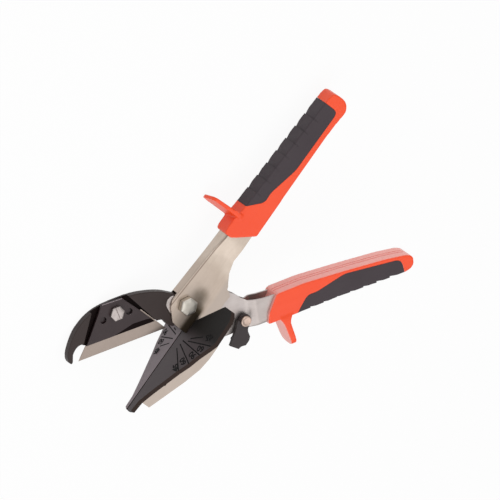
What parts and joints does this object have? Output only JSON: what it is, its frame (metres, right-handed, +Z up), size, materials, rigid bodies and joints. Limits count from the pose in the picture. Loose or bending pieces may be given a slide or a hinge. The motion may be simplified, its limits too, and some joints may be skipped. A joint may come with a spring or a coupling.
{
  "type": "mitre shears",
  "caption": "Hand shears that cut mouldings at set angles: a clamped blade closes into the slot of a marked mitre table.",
  "frame": {"origin": "under the centre of the bounding box, on the bench that the open shears rest on", "axes": "+Z up from the bench, +X along the upper grip, away from the jaws, +Y towards the blade side"},
  "size_m": [0.2402, 0.1734, 0.0695],
  "materials": {
    "lever_steel": "pressed sheet steel, satin nickel plated",
    "bright_steel": "turned steel fasteners",
    "blade_steel": "ground blade steel",
    "spring_steel": "oiled spring wire",
    "dark_steel": "satin black coated steel",
    "black_casting": "satin black painted casting",
    "black_plastic": "fine textured black plastic",
    "latch_plastic": "smooth black plastic",
    "orange_plastic": "orange moulded plastic",
    "dark_rubber": "soft dark overmould"
  },
  "bodies": {
    "anvil_side": {"anvil_lever": "lever_steel", "mitre_table": "black_plastic", "anvil_bar": "dark_steel", "table_pin_rear": "dark_steel", "table_pin_front": "dark_steel", "upper_grip": "orange_plastic", "upper_grip_pad": "dark_rubber", "pivot_bolt": "bright_steel", "pivot_bush": "bright_steel", "pivot_washer": "bright_steel", "pivot_nut": "bright_steel", "opening_spring": "spring_steel"},
    "blade_side": {"blade_lever": "lever_steel", "blade_holder": "black_casting", "blade": "blade_steel", "blade_cover": "dark_steel", "clamp_screw": "bright_steel", "locating_pin_front": "dark_steel", "locating_pin_rear": "dark_steel", "holder_rivet_upper": "bright_steel", "holder_rivet_lower": "bright_steel", "lower_grip": "orange_plastic", "lower_grip_pad": "dark_rubber", "latch_rivet": "bright_steel"},
    "latch": {"latch_lever": "latch_plastic"}
  },
  "joints": [
    {"name": "jaw_pivot", "type": "hinge", "parent": "anvil_side", "child": "blade_side", "pos_m": [-0.04401, 0.03231, 0.02152], "axis": [0.0579, 0.3832, 0.9218], "range_deg": [0, 39.4], "stiffness_Nm_per_rad": 1.2, "springref_deg": -20.05, "deforming": ["opening_spring"]},
    {"name": "latch_pivot", "type": "hinge", "parent": "blade_side", "child": "latch", "pos_m": [-0.03035, -0.00714, 0.03706], "axis": [0.0579, 0.3832, 0.9218], "range_deg": [-66.7, 0]}
  ]
}
